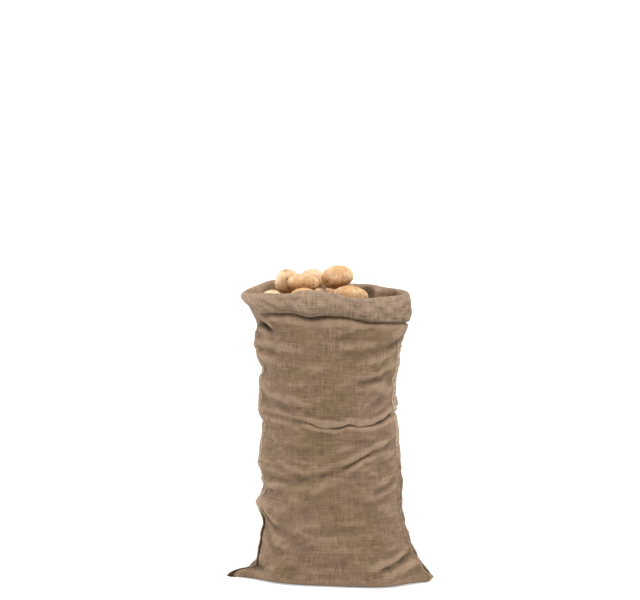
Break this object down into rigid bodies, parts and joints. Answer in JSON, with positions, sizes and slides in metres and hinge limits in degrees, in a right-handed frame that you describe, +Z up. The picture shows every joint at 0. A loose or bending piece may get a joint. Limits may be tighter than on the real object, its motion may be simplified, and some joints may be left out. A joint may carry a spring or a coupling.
{
  "type": "hessian sack filled with potatoes",
  "caption": "Tall hessian sack standing full of potatoes, with its mouth turned down into a cuff, side seams and drawn-out bottom corners.",
  "frame": {"origin": "on the floor, under the middle of the sack's box", "axes": "+Z up, the front faces -Y, +X is the right of someone facing the front"},
  "size_m": [0.5632, 0.363, 0.8714],
  "materials": {
    "hessian": "coarse matt jute weave",
    "potato_skin": "dry matt potato skin"
  },
  "bodies": {
    "root": {"sack": "hessian", "filling": "potato_skin", "potato_01": "potato_skin", "potato_02": "potato_skin", "potato_03": "potato_skin", "potato_04": "potato_skin", "potato_05": "potato_skin", "potato_06": "potato_skin", "potato_07": "potato_skin", "potato_08": "potato_skin", "potato_09": "potato_skin", "potato_10": "potato_skin", "potato_11": "potato_skin", "potato_12": "potato_skin", "potato_13": "potato_skin", "potato_14": "potato_skin", "potato_15": "potato_skin", "potato_16": "potato_skin"}
  },
  "joints": []
}
